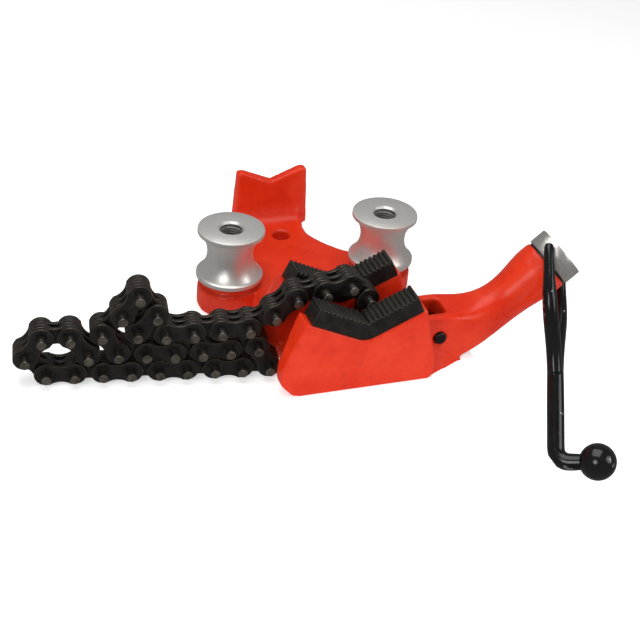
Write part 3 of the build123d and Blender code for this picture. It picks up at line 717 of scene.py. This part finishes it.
across = Vector((0, -1, 0)) * cos(CRANK_SPIN) + Vector(
    (-sin(SCREW_TILT), 0, cos(SCREW_TILT))
) * sin(CRANK_SPIN)
sideways = SCREW_DIRECTION.cross(across)
shank = SCREW_DIRECTION * cos(CRANK_FOLD) + sideways * sin(CRANK_FOLD)
leg = across.cross(shank)


def crank_point(down_shank, to_side=0.0, along_leg=0.0):
    """A place on the crank, in mm along its three directions from the nut's middle."""
    return NUT_MIDDLE + (shank * down_shank + across * to_side + leg * along_leg) * MM


def rod(name, stations):
    """A round rod through (place, radius in mm) stations, as a bmesh."""
    curve = bpy.data.curves.new(name, "CURVE")
    curve.dimensions = "3D"
    curve.bevel_depth = MM
    curve.bevel_resolution = 6
    curve.use_fill_caps = True
    spline = curve.splines.new("NURBS")
    spline.points.add(len(stations) - 1)
    for point, (place, radius) in zip(spline.points, stations):
        point.co = (*place, 1.0)
        point.radius = radius
    spline.order_u = 4
    spline.resolution_u = 10
    spline.use_endpoint_u = True
    holder = bpy.data.objects.new(name, curve)
    bpy.context.collection.objects.link(holder)
    mesh = bpy.data.meshes.new_from_object(
        holder.evaluated_get(bpy.context.evaluated_depsgraph_get())
    )
    bpy.data.objects.remove(holder)
    return mesh


bm = bmesh.new()
for side in (1, -1):
    tine = [(crank_point(down, side * out), radius) for down, out, radius in (
        (-3.2, 24.2, 2.4), (-2.0, 24.2, 3.4), (4, 24.2, 3.9), (14, 24.3, 4.0), (26, 24.2, 4.6),
        (37, 22.6, 5.4), (48, 18.6, 5.6), (58, 12.0, 5.7), (68, 6.4, 5.7), (78, 3.6, 5.6),
        (86, 2.4, 5.6),
    )]
    bm.from_mesh(rod("tine", tine))
BEND_RADIUS = 9.5
turn = [(0.5 * pi * i / 6) for i in range(7)]
corner = [(CRANK_LENGTH / MM - BEND_RADIUS * (1 - sin(a)), 0, BEND_RADIUS * (1 - cos(a))) for a in turn]
bend = [((84, 0, 0), 6.0), ((100, 0, 0), 6.3), ((120, 0, 0), 6.3), ((132, 0, 0), 6.3)]
bend += [(where, 6.3) for where in corner]
bend += [((CRANK_LENGTH / MM, 0, 13.0), 6.1), ((CRANK_LENGTH / MM, 0, 18.5), 5.8)]
bm.from_mesh(rod("bend", [(crank_point(*where), radius) for where, radius in bend]))
crank = make_object("crank_handle_forged", bm)
weld = crank.modifiers.new("weld", "REMESH")
weld.mode = "VOXEL"
weld.voxel_size = WELD_SIZE
soften = crank.modifiers.new("forged surface", "SMOOTH")
soften.factor = 0.5
soften.iterations = FORGED_ROUNDS
settle(crank)
crank.data.shade_smooth()
finish_piece(crank, enamel, "crank_enamel", "crank_handle")

# %% [markdown]
# **Crank pivots.** Two pins run from the nut into the ends of the tines.  They stop inside the
# tines, so no pin end shows.

# %% Piece: crank pivots
PIVOT_RADIUS = 3.5 * MM
PIVOT_INNER = 12.5 * MM
PIVOT_OUTER = 24.5 * MM

bm = bmesh.new()
for side in (1, -1):
    middle = NUT_MIDDLE + across * side * (PIVOT_INNER + PIVOT_OUTER) / 2
    bmesh.ops.create_cone(
        bm, cap_ends=True, cap_tris=False, segments=48, radius1=PIVOT_RADIUS,
        radius2=PIVOT_RADIUS, depth=PIVOT_OUTER - PIVOT_INNER,
        matrix=stand_along(across * side, middle),
    )
pivots = make_object("crank_pivot_pins", bm)
shade(pivots, 40.0)
finish_piece(pivots, black_pin_steel, "black_pin_steel", "crank_pivots")

# %% [markdown]
# **Knob.** A ball with a short neck, spun from a half circle that runs into a small hollow
# fillet where the rod goes in.

# %% Piece: crank knob
KNOB_RADIUS = 13.2 * MM
NECK_RADIUS = 5.6 * MM
BALL_STEPS = 40

neck_angle = asin(NECK_RADIUS / KNOB_RADIUS)
profile = [
    (KNOB_RADIUS * sin(a), KNOB_RADIUS * cos(a))
    for a in ((pi - neck_angle) * i / BALL_STEPS for i in range(BALL_STEPS + 1))
]
profile[0] = (0.0, KNOB_RADIUS)
bottom = profile[-1][1]
profile += [(NECK_RADIUS, bottom - 0.7 * MM), (NECK_RADIUS - 0.6 * MM, bottom - 0.9 * MM),
            (0.0, bottom - 0.9 * MM)]
bm = spun(profile, 96)
bmesh.ops.transform(
    bm, matrix=stand_along(leg, crank_point(CRANK_LENGTH / MM, 0, CRANK_LEG / MM)), verts=bm.verts
)
knob = make_object("crank_knob_ball", bm)
shade(knob, 50.0)
finish_piece(knob, enamel, "crank_enamel", "crank_knob")

# %% [markdown]
# **Small steel parts.** Washers, bolts, dowels and pins keep their CAD shapes, which are
# already right, and get finished metals.

# %% Materials on the CAD pieces that stay
plain_steel = chain_finish(
    "plain steel", (0.20, 0.195, 0.19), (0.40, 0.39, 0.38), (0.62, 0.61, 0.60),
    (0.28, 0.45), (0.95, 1.0), 0.4,
)
kept = {
    "chain_guide_pin": black_pin_steel,
    "left_roller_washer": plain_steel, "right_roller_washer": plain_steel,
    "left_roller_bolt": plain_steel, "right_roller_bolt": plain_steel,
    "thrust_washer": black_pin_steel, "key_pin": plain_steel, "draw_screw": plain_steel,
    "front_jaw_dowels": plain_steel, "rear_jaw_dowels": plain_steel,
}
for node, material in kept.items():
    obj = frame["nodes"][node]
    obj.data.materials.clear()
    obj.data.materials.append(material)
print(len(kept), "CAD pieces finished")

# %% [markdown]
# **Stage.** The vise is bolted near the edge of a bench, because its crank swings below the
# bench's top.  A white bench with a rounded edge and a floor well below it show that, and the
# white keeps the ground plain.

# %% Stage
BENCH_EDGE = 0.098
FLOOR_DROP = 0.16
STAGE_REACH = 4.0

bm = bmesh.new()
outline = [(-STAGE_REACH, 0.0), (BENCH_EDGE - 0.004, 0.0), (BENCH_EDGE, -0.004),
           (BENCH_EDGE, -FLOOR_DROP), (STAGE_REACH, -FLOOR_DROP)]
verts = [bm.verts.new((x, -STAGE_REACH, z)) for x, z in outline]
edges = [bm.edges.new(pair) for pair in zip(verts, verts[1:])]
swept = bmesh.ops.extrude_edge_only(bm, edges=edges)
moved = [v for v in swept["geom"] if isinstance(v, bmesh.types.BMVert)]
bmesh.ops.translate(bm, vec=(0, 2 * STAGE_REACH, 0), verts=moved)
stage = make_object("bench_and_floor", bm)
white, tree, shader = start_material(
    "white laminate", Roughness=0.7, Specular_IOR_Level=0.1, Emission_Strength=0.55,
)
for socket in ("Base Color", "Emission Color"):
    shader.inputs[socket].default_value = (0.93, 0.93, 0.93, 1.0)
stage.data.materials.append(white)
stage.visible_glossy = False

# %% [markdown]
# **Light.** A white surround fills the shadows.  A large softbox overhead makes the broad
# highlights on the paint, a smaller one on the left gives them direction, and a weak one on the
# right opens up the shaded side.

# %% Lights
world = bpy.data.worlds.new("surround")
bpy.context.scene.world = world
world.use_nodes = True
world.node_tree.nodes["Background"].inputs["Color"].default_value = (1.0, 1.0, 1.0, 1.0)
world.node_tree.nodes["Background"].inputs["Strength"].default_value = 0.2


def softbox(name, place, target, size, power):
    light = bpy.data.lights.new(name, "AREA")
    light.size = size
    light.energy = power
    lamp = bpy.data.objects.new(name, light)
    aim = Vector(target) - Vector(place)
    lamp.matrix_world = Matrix.Translation(place) @ aim.to_track_quat("-Z", "Y").to_matrix().to_4x4()
    bpy.context.collection.objects.link(lamp)
    return lamp


softbox("overhead", (-0.1, 0.15, 1.2), (0.0, 0.05, 0.0), 1.1, 11.5)
softbox("key", (-0.9, -0.9, 0.75), (0.0, 0.0, 0.03), 0.55, 6.4)
softbox("fill", (0.9, -0.7, 0.6), (0.05, 0.0, 0.03), 0.6, 4.0)
